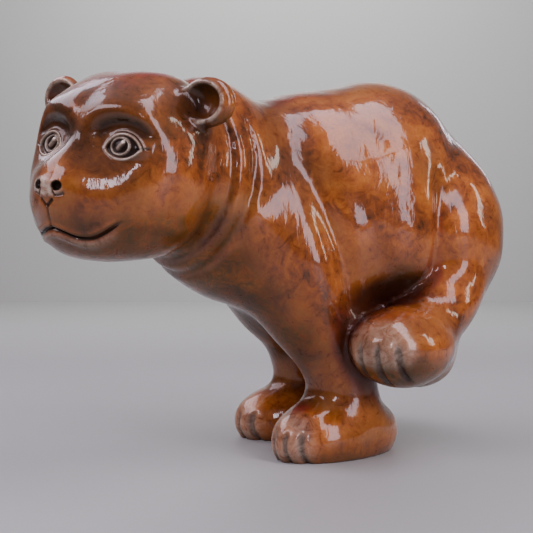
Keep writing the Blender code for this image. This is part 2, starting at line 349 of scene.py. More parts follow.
def muzzle_lines(in_head):
    """how strongly a spot lies in the mouth line, on a lip, in a nostril or in a groove"""
    forward, across, height = (in_head - MUZZLE_SHIFT).T
    side = np.abs(across)
    above = height - mouth_height(side)
    reach = ramp(forward, *MOUTH_FADE) * ramp(side, *MOUTH_END)
    ahead = ramp(forward, *NOSE_FADE)
    (hole_side, hole_height), (hole_width, hole_rise) = NOSTRIL
    hole = np.hypot((side - hole_side) / hole_width, (height - hole_height) / hole_rise)
    strokes = zip(NOSTRIL_TAIL, NOSTRIL_TAIL[1:])
    tail = np.min([line_distance(side, height, start, end) for start, end in strokes], axis=0)
    groove = line_distance(across, height, *LIP_GROOVE)
    wings = line_distance(side, height, *NOSE_WINGS)
    return {
        "mouth": bell(above, np.where(above > 0, MOUTH_ABOVE, MOUTH_BELOW)) * reach,
        "overhang": bell(above - OVERHANG_RISE, OVERHANG_WIDTH) * reach,
        "lip": bell(above + LIP_DROP, LIP_WIDTH) * reach * ramp(side, *LIP_END),
        "nostril": ramp(hole, *NOSTRIL_EDGE) * ahead,
        "shade": ramp(hole, *NOSTRIL_SHADE) * ahead,
        "tail": bell(tail, NOSTRIL_TAIL_WIDTH) * ahead,
        "groove": bell(groove, NOSE_LINE_WIDTH) * ahead,
        "wings": bell(wings, NOSE_LINE_WIDTH) * ahead,
    }


def muzzle_relief(in_head):
    """depth of the carving of mouth and nose"""
    lines = muzzle_lines(in_head)
    return sum(deep * lines[name] for name, deep in MUZZLE_DEPTHS.items())


print("mouth line runs", MOUTH_SIDE[-1], "mm to each side")

# %% [markdown]
# Folds of skin circle the neck behind the cheeks, a soft groove parts the shoulder from the belly,
# a crease runs down in front of the thigh, and short creases part the toes. All are shallow bells
# that fade out at their ends. Long slow waves a fraction of a millimetre deep keep the surface
# from looking turned on a lathe: they are the sculptor's thumbs, and they bend the reflections.

# %% Folds, creases, toes and thumb marks
# Each fold has its distance from the middle of the head, its depth and its width.
NECK_FOLDS = ((98.5, 3.5, 4.6), (118.0, 3.8, 5.2))
NECK_FOLD_TOP = (345, 315)
NECK_FOLD_FRONT = (20, -10)
GROOVE_TOP = 303.0
GROOVE_START = -61.0
GROOVE_LEAN = 0.331
GROOVE_DEPTH = 8.0
GROOVE_WIDTH = 15.0
GROOVE_HEIGHTS = (120.0, 150.0, 200.0, 310.0)
GROOVE_SIDES = (40.0, 70.0)
THIGH_CREASE_PLACE = 80.0
THIGH_CREASE_DEPTH = 3.5
THIGH_CREASE_WIDTH = 7.0
THIGH_CREASE_HEIGHTS = (170.0, 195.0, 270.0, 300.0)
THIGH_CREASE_SIDES = (60.0, 90.0)
# Toes: the paw they belong to, where the creases lie across it, and their top, depth and width.
TOE_CREASES = (
    ("left forepaw", (22, 7, -8, -21), 16, 3.2, 2.0),
    ("right forepaw", (-22, -7, 8, 21), 16, 3.2, 2.0),
    ("left hind paw", (34, 17, -2, -21), 10, 4.0, 2.4),
    ("right hind paw", (-30, -12, 6, 24), 10, 3.5, 2.4),
)
TOE_FADE = 12.0
TOE_FRONT = (-0.30, -0.60)
TOE_SKIN = (1.5, 1.2)
PAWS = {
    name: (at, size, turn) for name, sides, at, size, turn, fillet in FORELEG_LUMPS + HIND_LUMPS
}
THUMB_DEPTH = 0.45
THUMB_SPAN = 17.0
THUMB_SOLE_FADE = (4, 20)


def neck_relief(spots, in_head):
    """depth of the folds that circle the neck behind the cheeks"""
    reach = np.sqrt((in_head ** 2).sum(1))
    depth = sum(deep * bell(reach - radius, wide) for radius, deep, wide in NECK_FOLDS)
    return depth * ramp(spots[:, 2], *NECK_FOLD_TOP) * ramp(in_head[:, 0], *NECK_FOLD_FRONT)


def crease_ends(spots, heights, sides):
    """one where a crease is full, fading towards its foot, its top and the middle of the body"""
    foot, low, high, top = heights
    height = spots[:, 2]
    return ramp(height, top, high) * ramp(height, foot, low) * ramp(np.abs(spots[:, 1]), *sides)


def flank_relief(spots):
    """depth of the groove between shoulder and belly"""
    across = spots[:, 0] - GROOVE_START - GROOVE_LEAN * (GROOVE_TOP - spots[:, 2])
    ends = crease_ends(spots, GROOVE_HEIGHTS, GROOVE_SIDES)
    return GROOVE_DEPTH * bell(across, GROOVE_WIDTH) * ends


def thigh_relief(spots):
    """depth of the crease in front of the thighs"""
    ends = crease_ends(spots, THIGH_CREASE_HEIGHTS, THIGH_CREASE_SIDES)
    return THIGH_CREASE_DEPTH * bell(spots[:, 0] - THIGH_CREASE_PLACE, THIGH_CREASE_WIDTH) * ends


def in_paw(spots, paw):
    """places measured in one paw: along it, across it and up, and as a share of its size"""
    at, size, turn = PAWS[paw]
    inside = (spots - np.array(at, float)) @ turned(turn)
    return inside, inside / np.array(size, float)


def toe_relief(spots):
    """depth of the creases between the toes"""
    depth = np.zeros(len(spots))
    for paw, creases, top, deep, wide in TOE_CREASES:
        inside, share = in_paw(spots, paw)
        front = ramp(share[:, 0], *TOE_FRONT) * ramp(np.sqrt((share ** 2).sum(1)), *TOE_SKIN)
        front = front * ramp(inside[:, 2], top, top - TOE_FADE)
        for across in creases:
            depth += deep * bell(inside[:, 1] - across, wide) * front
    return depth


def thumb_marks(spots):
    """slow waves that the modelling left, each bent by another so that none repeats"""
    along, across, height = spots.T / THUMB_SPAN
    first = np.sin(along + 1.7 * np.sin(0.8 * height + 0.5))
    first = first * np.sin(height + 1.3 * np.sin(0.9 * across))
    second = np.sin(2.3 * across + 1.1 * np.sin(1.7 * along))
    second = second * np.sin(2.1 * height + 0.9 * along)
    return THUMB_DEPTH * (first + 0.5 * second)


print("toe creases on", len(TOE_CREASES), "paws")

# %% [markdown]
# One function now puts the smooth bear together in the order a sculptor works: body, head,
# forelegs, hind legs. Its value is the height of any spot above the skin. The fine carving is a
# second function, the depth to cut at a spot of the smooth skin, as a tool is used on finished clay.

# %% The whole bear as one distance, and the carving as a depth
HEAD_REACH = 170.0


def head_height(in_head):
    """height above the smooth skin of the head"""
    skull = modelled(in_head, HEAD_LUMPS)
    skull = modelled(in_head - EYE_SHIFT, EYE_LUMPS, skull)
    skull = modelled(in_head - MUZZLE_SHIFT, NOSE_LUMPS, skull)
    return joined(skull, modelled(in_head, EAR_LUMPS), EAR_FILLET)


def clay_height(spots):
    """how far each spot lies outside the bear's smooth skin, less than nothing inside"""
    in_head = in_head_of(spots)
    skin = modelled(spots, BODY_LUMPS) + neck_relief(spots, in_head)
    head = np.full(len(spots), HEAD_REACH)
    by_head = (in_head ** 2).sum(1) < HEAD_REACH ** 2
    head[by_head] = head_height(in_head[by_head])
    skin = joined(skin, head, HEAD_FILLET)
    skin = joined(skin, modelled(spots, FORELEG_LUMPS), FORELEG_FILLET)
    skin = skin + flank_relief(spots)
    rear = ramp(spots[:, 0], *HIND_FILLET_REACH)
    hind_fillet = HIND_FILLET_FRONT + (HIND_FILLET_REAR - HIND_FILLET_FRONT) * rear
    skin = joined(skin, modelled(spots, HIND_LUMPS), hind_fillet)
    return skin + thigh_relief(spots)


def carving(spots):
    """how deep the tool cuts at each spot of the smooth skin"""
    in_head = in_head_of(spots)
    waves = thumb_marks(spots) * ramp(spots[:, 2], *THUMB_SOLE_FADE)
    return waves + eye_relief(in_head) + muzzle_relief(in_head) + toe_relief(spots)


belly_middle = np.array([BODY_LUMPS[0][2]], float)
print("height of a spot in the middle of the belly:", round(float(clay_height(belly_middle)[0])))

# %% [markdown]
# The distance becomes a mesh in steps. Rough balls stand in for the lumps, a voxel remesh wraps
# them in one closed skin of even squares, and then every point slides along the slope of the
# distance until it lies on the clay. A second, finer remesh spreads the squares evenly again.

# %% From balls to one skin
BALL_SEGMENTS = 32
BALL_RINGS = 20
VOXEL_SIZES = (6.0, 4.0)
SETTLE_ROUNDS = 5
SETTLE_REACH = 4.0
SLOPE_STEP = 0.2
LEAST_SLOPE = 0.1


def rough_lumps():
    """one ball for every lump, in place, as a first rough bear"""
    rough = bmesh.new()
    head = Matrix.Translation(HEAD_PLACE) @ Matrix(HEAD_AXES.tolist()).to_4x4()
    groups = (
        (BODY_LUMPS + FORELEG_LUMPS + HIND_LUMPS, Matrix.Identity(4)),
        (HEAD_LUMPS + NOSE_LUMPS + EAR_LUMPS, head),
    )
    for lumps, place in groups:
        for name, sides, at, size, turn, fillet in lumps:
            if sides < 0:
                continue
            for mirror in (1, -1) if sides == 2 else (1,):
                flip = Matrix.Diagonal((1, mirror, 1, 1))
                posed = Matrix.Translation(at) @ Matrix(turned(turn).tolist()).to_4x4()
                shaped = place @ flip @ posed @ Matrix.Diagonal((*size, 1))
                bmesh.ops.create_uvsphere(
                    rough, u_segments=BALL_SEGMENTS, v_segments=BALL_RINGS,
                    radius=1.0, matrix=shaped,
                )
    bmesh.ops.recalc_face_normals(rough, faces=rough.faces)
    mesh = bpy.data.meshes.new("rough bear")
    rough.to_mesh(mesh)
    rough.free()
    return mesh


def remeshed(mesh, voxel):
    """the mesh wrapped in one closed skin of even squares"""
    carrier = bpy.data.objects.new("carrier", mesh)
    bpy.context.scene.collection.objects.link(carrier)
    wrap = carrier.modifiers.new("wrap", "REMESH")
    wrap.mode = "VOXEL"
    wrap.voxel_size = voxel
    graph = bpy.context.evaluated_depsgraph_get()
    result = bpy.data.meshes.new_from_object(carrier.evaluated_get(graph))
    bpy.data.objects.remove(carrier)
    return result


def points_of(mesh):
    """places of the mesh's points"""
    spots = np.empty(len(mesh.vertices) * 3)
    mesh.vertices.foreach_get("co", spots)
    return spots.reshape(-1, 3)


def slope_of(spots, height):
    """direction in which the height grows, and how fast"""
    steps = np.eye(3) * SLOPE_STEP
    return np.stack([(clay_height(spots + step) - height) / SLOPE_STEP for step in steps], 1)


def settled(mesh, rounds):
    """every point of the mesh moved onto the bear's skin"""
    spots = points_of(mesh)
    for step in range(rounds):
        height = clay_height(spots)
        slope = slope_of(spots, height)
        push = height / np.maximum((slope ** 2).sum(1), LEAST_SLOPE)
        spots = spots - slope * np.clip(push, -SETTLE_REACH, SETTLE_REACH)[:, None]
    mesh.vertices.foreach_set("co", spots.ravel())
    return mesh


bear_mesh = rough_lumps()
for voxel in VOXEL_SIZES:
    bear_mesh = settled(remeshed(bear_mesh, voxel), SETTLE_ROUNDS)
print("skin of", len(bear_mesh.polygons), "squares")

# %% [markdown]
# Eyes, nose, mouth, ears and toes carry finer lines than the rest, so only their squares are cut
# smaller: once over all of them, a second time in the face, and a third time along the lines of
# eyes, nose and mouth. After each cut the points settle on the smooth clay. Only then does the tool
# go in: each point sinks or rises straight along the slope of the clay by the depth of the carving.

# %% Finer squares, then the carving
# For each cut: how far it reaches round an eye, how flat its oval is, and how deep it goes.
EYE_SPANS = ((30.0, 1.3, 20.0), (30.0, 1.3, 20.0), (20.5, 1.25, 15.0))
EYE_SPAN_SHIFT = 3.0
NOSE_SPANS = (30.0, 26.0, 20.0)
NOSE_PLACE = np.array([88.0, 0.0, -27.0])
MOUTH_SPANS = (10.0, 7.0, 3.0)
MOUTH_SPAN_DROP = 1.0
MOUTH_BACK = 26.0
MOUTH_CORNER = 58.0
EAR_SPAN = 30.0
TOE_START = -0.35
TOE_SPAN = 1.4
TOE_MARGIN = 4.0
CUT_ROUNDS = 2


def fine_face(in_head, cut):
    """which spots lie on eyes, nose or mouth, carved finely enough for this cut"""
    in_muzzle = in_head - MUZZLE_SHIFT
    chosen = ((in_muzzle - NOSE_PLACE) ** 2).sum(1) < NOSE_SPANS[cut] ** 2
    span, flatness, depth = EYE_SPANS[cut]
    for side, middle, width in EYES:
        outward, up, ahead = eye_plane(in_head, side, middle)
        oval = np.hypot(outward - EYE_SPAN_SHIFT, up * flatness)
        chosen |= (oval < span) & (np.abs(ahead) < depth)
    forward, across, height = in_muzzle.T
    side = np.abs(across)
    by_mouth = np.abs(height - mouth_height(side) + MOUTH_SPAN_DROP) < MOUTH_SPANS[cut]
    return chosen | by_mouth & (forward > MOUTH_BACK) & (side < MOUTH_CORNER)


def fine_ears_and_toes(spots, in_head):
    """which spots lie on an ear or on the toes"""
    ear_middle = np.array(EAR_LUMPS[0][2], float)
    chosen = ((folded(in_head) - ear_middle) ** 2).sum(1) < EAR_SPAN ** 2
    for paw, creases, top, deep, wide in TOE_CREASES:
        inside, share = in_paw(spots, paw)
        on_toes = (share[:, 0] < TOE_START) & ((share ** 2).sum(1) < TOE_SPAN)
        chosen |= on_toes & (inside[:, 2] < top + TOE_MARGIN)
    return chosen


def cut_finer(mesh, cut):
    """the squares on fine work cut in four"""
    spots = points_of(mesh)
    in_head = in_head_of(spots)
    chosen = fine_face(in_head, cut)
    if cut == 0:
        chosen |= fine_ears_and_toes(spots, in_head)
    solid = bmesh.new()
    solid.from_mesh(mesh)
    edges = [edge for edge in solid.edges if all(chosen[point.index] for point in edge.verts)]
    bmesh.ops.subdivide_edges(solid, edges=edges, cuts=1, use_grid_fill=True)
    solid.to_mesh(mesh)
    solid.free()
    return mesh


def carved(mesh):
    """every point sunk or raised by the depth of the carving"""
    spots = points_of(mesh)
    slope = slope_of(spots, clay_height(spots))
    slope /= np.sqrt((slope ** 2).sum(1, keepdims=True)) + TINY
    spots = spots - slope * carving(spots)[:, None]
    mesh.vertices.foreach_set("co", spots.ravel())
    return mesh


for cut in range(len(EYE_SPANS)):
    bear_mesh = settled(cut_finer(bear_mesh, cut), CUT_ROUNDS)
bear_mesh = carved(bear_mesh)
print("carved skin of", len(bear_mesh.polygons), "faces")

# %% [markdown]
# The bear stands on its forepaws, so both soles are cut off flat at the ground and closed. The mesh
# is then brought from millimetres to metres, about the middle of the measured box.

# %% Flat soles
SOLE_SNAP = 0.8
CUT_TOLERANCE = 0.0001
FLAT_BELOW = 1e-5


def with_flat_soles(mesh):
    """the forepaws cut flat where they stand, the whole in metres"""
    solid = bmesh.new()
    solid.from_mesh(mesh)
    for point in solid.verts:
        if abs(point.co.z) < SOLE_SNAP:
            point.co.z = 0.0
    everything = solid.verts[:] + solid.edges[:] + solid.faces[:]
    bmesh.ops.bisect_plane(
        solid, geom=everything, dist=CUT_TOLERANCE,
        plane_co=(0, 0, 0), plane_no=(0, 0, 1), clear_inner=True,
    )
    rims = [edge for edge in solid.edges if edge.is_boundary]
    bmesh.ops.holes_fill(solid, edges=rims, sides=0)
    bmesh.ops.translate(solid, verts=solid.verts, vec=Vector(-BOX_MIDDLE))
    bmesh.ops.scale(solid, verts=solid.verts, vec=Vector((UNIT, UNIT, UNIT)))
    bmesh.ops.triangulate(solid, faces=solid.faces)
    bmesh.ops.recalc_face_normals(solid, faces=solid.faces)
    for face in solid.faces:
        face.smooth = abs(face.calc_center_median().z) > FLAT_BELOW
    result = bpy.data.meshes.new("cast bear")
    solid.to_mesh(result)
    solid.free()
    return result


bear_mesh = with_flat_soles(bear_mesh)
cast_bear = bpy.data.objects.new("cast_bear", bear_mesh)
bpy.context.scene.collection.objects.link(cast_bear)
print("cast bear:", len(bear_mesh.polygons), "triangles")

# %% [markdown]
# Bronze takes its colour by where hands and brushes reach. Wax and dark patina stay in hollows, and
# rubbing lays bare the pale metal on rims, toes and nose. Painted shade darkens the hollows further,
# and a painted highlight lies on the lower lip. The same distance that shaped the bear tells where
# that is: a spot a little above a hollow is still close to the skin. The lines of the carving are
# asked again too. The answers are kept on the points of the mesh as a colour attribute: red for
# rubbed metal and the painted lip highlight, green for hollow patina with painted shade, blue for
# the crimson tint and alpha for the green. The crimson on top of the head is partly patina and
# partly painted reflection, and in the creases it is painted shade. The green is partly patina and
# partly painted shade and reflection underneath.

# %% Where the bronze is rubbed, hollow, crimson or green
EYE_RUBBED = {"rim": 1.0, "ring": 1.1, "comma": 1.0, "crest": 0.45}
EYE_RUBBED_EDGE = (0.8, 0.3)
PAD_RUBBED = 0.9
PAD_SKIN = (1.6, 0.2)
PAD_HEIGHTS = (-36, -28)
# A painted highlight on the lower lip, laid on with the bare metal.
LIP_PAINTED_HIGHLIGHT = 0.22
EAR_RUBBED = 0.8
EAR_RIM_OUT, EAR_RIM_WIDTH = 1.4, 1.7
EAR_SKIN = (4, 1.5)
TOE_RUBBED = 0.34
TOE_TIP = (-0.62, -0.86)
TOE_TIP_HEIGHTS = (-22, -8)
TOE_TIP_SKIN = (1.4, 1.2)
# Hollow shares are painted shade in corners, creases, cut lines, eye sockets and on the soles, over
# the dark patina that stays in hollows.
HOLLOW_NEAR = 3.5
HOLLOW_WIDE = 26.0
HOLLOW_WIDE_SHARE = 0.9
HOLLOW_MOST = 0.85
SOLE_PAINTED_SHADE = 0.3
SOLE_HEIGHT = 1.0
SOCKET_PAINTED_SHADE = 0.55
MUZZLE_HOLLOW = {"shade": 1.0, "tail": 0.9, "groove": 0.5, "wings": 0.8}
MOUTH_HOLLOW_EDGE = (0.05, 0.5)
TOE_HOLLOW_DEPTH = 4.0
TOE_HOLLOW_MOST = 0.8
# Crimson on upward skin is partly patina and partly painted reflection. The crimson round the hind
# paw and in the crease by the thigh is painted shade.
CRIMSON_UPWARD = (0.80, 0.93)
CRIMSON_ALONG = (40, -90)
PAINTED_RED_SHADE = 0.6
PRESS_SKIN = (1.8, 1.15)
PRESS_HOLLOW = (0.2, 0.6)
CREASE_TINT_PLACE = THIGH_CREASE_PLACE + 6
CREASE_TINT_WIDTH = 16.0
CREASE_TINT_HEIGHTS = (300, 250)
CREASE_TINT_HOLLOW = (0.12, 0.35)
CREASE_TINT_SIDES = (50, 80)
# Olive on downward skin and low on the rump: partly green patina, partly painted shade and
# reflection underneath.
UNDERSIDE_GREEN_AND_SHADE = 0.85
GREEN_DOWNWARD = (-0.05, -0.6)
GREEN_RUMP = 0.6
GREEN_ALONG = (120, 190)
GREEN_HEIGHTS = (250, 160)


def skin_of(spots, lump):
    """distance to the skin of one listed lump"""
    name, sides, at, size, turn, fillet = lump
    return ball(spots, at, size, turn)


def rubbed_and_highlight_share(spots, in_head):
    """how much bare metal shows on rims of the eyes and ears, nose and toes, and the painted lip
    highlight
    """
    rubbed_and_highlight = np.zeros(len(spots))
    for eye in EYES:
        lines = eye_lines(in_head, *eye)
        drawn = sum(share * lines[name] for name, share in EYE_RUBBED.items())
        rubbed_and_highlight = np.maximum(rubbed_and_highlight, np.clip(drawn, 0, 1) * ramp(lines["fold"], *EYE_RUBBED_EDGE))
    lines = muzzle_lines(in_head)
    pad = skin_of(in_head - MUZZLE_SHIFT, NOSE_LUMPS[0])
    open_pad = ramp(pad, *PAD_SKIN) * ramp(in_head[:, 2], *PAD_HEIGHTS)
    rubbed_and_highlight = np.maximum(rubbed_and_highlight, PAD_RUBBED * open_pad * (1 - lines["shade"]) * (1 - lines["tail"]))
    # Painted highlight along the lower lip.
    rubbed_and_highlight = np.maximum(rubbed_and_highlight, LIP_PAINTED_HIGHLIGHT * lines["lip"])
    ear, ear_hollow = (skin_of(folded(in_head), lump) for lump in EAR_LUMPS)
    ear_rim = bell(ear_hollow - EAR_RIM_OUT, EAR_RIM_WIDTH) * ramp(np.abs(ear), *EAR_SKIN)
    rubbed_and_highlight = np.maximum(rubbed_and_highlight, EAR_RUBBED * ear_rim)
    for paw, creases, top, deep, wide in TOE_CREASES:
        inside, share = in_paw(spots, paw)
        tip = ramp(share[:, 0], *TOE_TIP) * ramp(inside[:, 2], *TOE_TIP_HEIGHTS)
        tip = tip * ramp((share ** 2).sum(1), *TOE_TIP_SKIN)
        rubbed_and_highlight = np.maximum(rubbed_and_highlight, TOE_RUBBED * tip)
    return rubbed_and_highlight


# The closeness stands for how little light gets into a spot, and the masks use it as painted shade.
def closeness(spots, normals, reach):
    """how near the skin still is at a spot raised by the reach: one in a narrow hole"""
    return np.clip(1 - clay_height(spots + normals * reach) / reach, 0, 1)


def hollow_patina_and_shade_share(spots, in_head, near, wide):
    """how much dark patina and painted shade lie in corners of the clay and in cut lines"""
    hollow = np.clip(near + HOLLOW_WIDE_SHARE * wide, 0, HOLLOW_MOST)
    for eye in EYES:
        lines = eye_lines(in_head, *eye)
        # Painted shade inside the lids, in the lid fold and along the line past the outer corner,
        # but not on the raised ring and comma.
        dark = lines["inside"] + lines["fold"] + lines["corner"] - lines["ring"] - lines["comma"]
        hollow = np.maximum(hollow * (1 - lines["rim"]), np.clip(dark, 0, 1))
        # Painted shade in the crescent under each brow.
        hollow = np.maximum(hollow, SOCKET_PAINTED_SHADE * lines["socket"])
    # Painted shade in the nostrils, their tails, the nose grooves and along the mouth line.
    lines = muzzle_lines(in_head)
    for name, share in MUZZLE_HOLLOW.items():
        hollow = np.maximum(hollow, share * lines[name])
    hollow = np.maximum(hollow, ramp(lines["mouth"], *MOUTH_HOLLOW_EDGE))
    # Painted shade in the creases between the toes.
    hollow = np.maximum(hollow, np.clip(toe_relief(spots) / TOE_HOLLOW_DEPTH, 0, TOE_HOLLOW_MOST))
    # Painted shade on the flat soles.
    hollow[spots[:, 2] < SOLE_HEIGHT] = SOLE_PAINTED_SHADE
    return hollow


def crimson_tint_and_painted_light_share(spots, normals, wide):
    """how much crimson shows: on top of head and nape, partly patina and partly painted
    reflection, and as painted red shade round the hind paw and by the thigh
    """
    upper = ramp(normals[:, 2], *CRIMSON_UPWARD) * ramp(spots[:, 0], *CRIMSON_ALONG)
    inside, share = in_paw(spots, "left hind paw")
    press = ramp(np.sqrt((share ** 2).sum(1)), *PRESS_SKIN) * ramp(wide, *PRESS_HOLLOW)
    crease = bell(spots[:, 0] - CREASE_TINT_PLACE, CREASE_TINT_WIDTH)
    crease = crease * ramp(spots[:, 2], *CREASE_TINT_HEIGHTS) * ramp(wide, *CREASE_TINT_HOLLOW)
    crease = crease * ramp(np.abs(spots[:, 1]), *CREASE_TINT_SIDES)
    return np.max([upper, PAINTED_RED_SHADE * press, PAINTED_RED_SHADE * crease], axis=0)


def green_patina_and_underside_shade_share(spots, normals):
    """how much green shows underneath and low on the rump: partly patina, partly painted shade and
    reflection
    """
    below = ramp(normals[:, 2], *GREEN_DOWNWARD)
    rump = ramp(spots[:, 0], *GREEN_ALONG) * ramp(spots[:, 2], *GREEN_HEIGHTS)
    return np.clip(UNDERSIDE_GREEN_AND_SHADE * below + GREEN_RUMP * rump, 0, 1)


def finish_masks(mesh):
    """the four shares for every point of the mesh"""
    spots = points_of(mesh) / UNIT + BOX_MIDDLE
    normals = np.empty(len(mesh.vertices) * 3)
    mesh.vertex_normals.foreach_get("vector", normals)
    normals = normals.reshape(-1, 3)
    in_head = in_head_of(spots)
    near = closeness(spots, normals, HOLLOW_NEAR)
    wide = closeness(spots, normals, HOLLOW_WIDE)
    shares = (
        rubbed_and_highlight_share(spots, in_head),
        hollow_patina_and_shade_share(spots, in_head, near, wide),
        crimson_tint_and_painted_light_share(spots, normals, wide),
        green_patina_and_underside_shade_share(spots, normals),
    )
    masks = np.stack(shares, 1)
    layer = mesh.color_attributes.new("finish", "FLOAT_COLOR", "POINT")
    layer.data.foreach_set("color", masks.ravel())
    return masks


masks = finish_masks(bear_mesh)
print(
    "mean shares:",
    dict(zip(("rubbed_and_highlight", "hollow", "crimson", "green"), masks.mean(0).round(3).tolist())),
)

# %% [markdown]
# Small helpers keep the node tree of the material short: one adds a node with its inputs set or
# linked, and the others add the kinds of node that come back often, each in one line.

# %% Helpers for materials


def feed(tree, socket, value):
    """a socket linked to another node's output, or set to a value"""
    if isinstance(value, bpy.types.NodeSocket):
        tree.links.new(value, socket)
    else:
        socket.default_value = value


def add_node(tree, kind, **settings):
    """one shader node with its settings, and with the inputs whose names follow in_"""
    node = tree.nodes.new(kind)
    for name, value in settings.items():
        if name.startswith("in_"):
            feed(tree, node.inputs[name[3:].replace("_", " ")], value)
        else:
            setattr(node, name, value)
    return node


def add_noise(tree, place, scale, detail, roughness=0.5, distortion=0.0):
    """soft clouds, the scale being about how many lie along a metre"""
    node = add_node(tree, "ShaderNodeTexNoise", in_Vector=place, in_Scale=scale, in_Detail=detail)
    feed(tree, node.inputs["Roughness"], roughness)
    feed(tree, node.inputs["Distortion"], distortion)
    return node.outputs["Fac"]


def grey(level):
    """a colour with all three parts alike"""
    return (level, level, level)


def add_ramp(tree, source, *stops):
    """colours along a value"""
    node = add_node(tree, "ShaderNodeValToRGB", in_Fac=source)
    band = node.color_ramp
    while len(band.elements) < len(stops):
        band.elements.new(0.5)
    for element, (place, colour) in zip(band.elements, stops):
        element.position = place
        element.color = (*colour, 1)
    return node.outputs["Color"]


def mixed(tree, share, first, second, blend="MIX"):
    """two colours mixed by a share"""
    node = add_node(tree, "ShaderNodeMix", data_type="RGBA", blend_type=blend)
    for number, value in ((0, share), (6, first), (7, second)):
        feed(tree, node.inputs[number], (*value, 1) if isinstance(value, tuple) else value)
    return node.outputs[2]


def worked(tree, operation, first, second):
    """two values put together by arithmetic, kept between nothing and one"""
    node = add_node(tree, "ShaderNodeMath", operation=operation, use_clamp=True)
    for socket, value in zip(node.inputs, (first, second)):
        feed(tree, socket, value)
    return node.outputs[0]


print("material helpers ready, such as grey:", grey(0.5))

# %% [markdown]
# The patina is brushed and dabbed on hot metal in many thin layers, which leaves soft clouds about
# as wide as the brush. Two noises make them: a wide one chooses between orange and brown, and a
# fine one, twisted, breaks the clouds into strokes. Smoke darkens some of them, and the four shares
# on the points lay green, crimson, dark hollows and bare metal over the rest. The dark hollows hold
# painted shade as well as patina, the bare metal includes a painted lip highlight, and green and
# crimson are partly painted shade and reflection. Clear wax over it is the coat of the shader, a
# little uneven, and thin where the hollows and the green are dark and matt.

# %% Patinated bronze under wax
BRIGHT = (0.66, 0.215, 0.032)
ORANGE = (0.54, 0.140, 0.016)
RUSSET = (0.33, 0.075, 0.011)
BROWN = (0.130, 0.038, 0.009)
SMOKE = (0.20, 0.070, 0.015)
UMBER = (0.022, 0.009, 0.004)
CRIMSON = (0.42, 0.014, 0.026)
OLIVE = (0.060, 0.046, 0.013)
PALE = (0.86, 0.68, 0.53)
CLOUD_SCALE = 16.0
CLOUD_SHARE = 0.62
STROKE_SCALE = 75.0
SMOKE_SCALE = 8.0
SPECK_SCALE = 420.0
SPECK_SHARE = 0.16
WAX_SCALE = 70.0
WAX_STRETCH = (1.0, 1.0, 0.35)
WAX_STRENGTH = 0.35
WAX_DEPTH = 0.0012
COAT_ROUGHNESS = 0.06
COAT_INDEX = 1.5
METAL_SHINE = 0.15
GREEN_MATT = 0.95


def brushed_patina(tree, place, strokes):
    """orange, russet and brown clouds, some of them smoked"""
    clouds = add_noise(tree, place, CLOUD_SCALE, 5.0, 0.6, 0.8)
    wide = worked(tree, "MULTIPLY", clouds, CLOUD_SHARE)
    fine = worked(tree, "MULTIPLY", strokes, 1 - CLOUD_SHARE)
    blend = worked(tree, "ADD", wide, fine)
    brushed = add_ramp(tree, blend, (0.38, BROWN), (0.46, RUSSET), (0.54, ORANGE), (0.64, BRIGHT))
    smoked = add_noise(tree, place, SMOKE_SCALE, 4.0, distortion=0.5)
    veil = add_ramp(tree, smoked, (0.50, grey(0)), (0.66, grey(0.55)))
    return mixed(tree, veil, brushed, SMOKE)


def add_wax(tree, shader, place, matt):
    """clear uneven wax over the patina, thin where it is matt"""
    waxed = add_ramp(tree, matt, (0.45, grey(1)), (1.0, grey(0.25)))
    feed(tree, shader.inputs["Coat Weight"], waxed)
    feed(tree, shader.inputs["Coat Roughness"], COAT_ROUGHNESS)
    feed(tree, shader.inputs["Coat IOR"], COAT_INDEX)
    stretched = add_node(tree, "ShaderNodeMapping", in_Vector=place, in_Scale=WAX_STRETCH)
    waves = add_noise(tree, stretched.outputs[0], WAX_SCALE, 3.0, distortion=1.2)
    bump = add_node(
        tree, "ShaderNodeBump", in_Height=waves, in_Strength=WAX_STRENGTH, in_Distance=WAX_DEPTH
    )
    for name in ("Normal", "Coat Normal"):
        feed(tree, shader.inputs[name], bump.outputs[0])


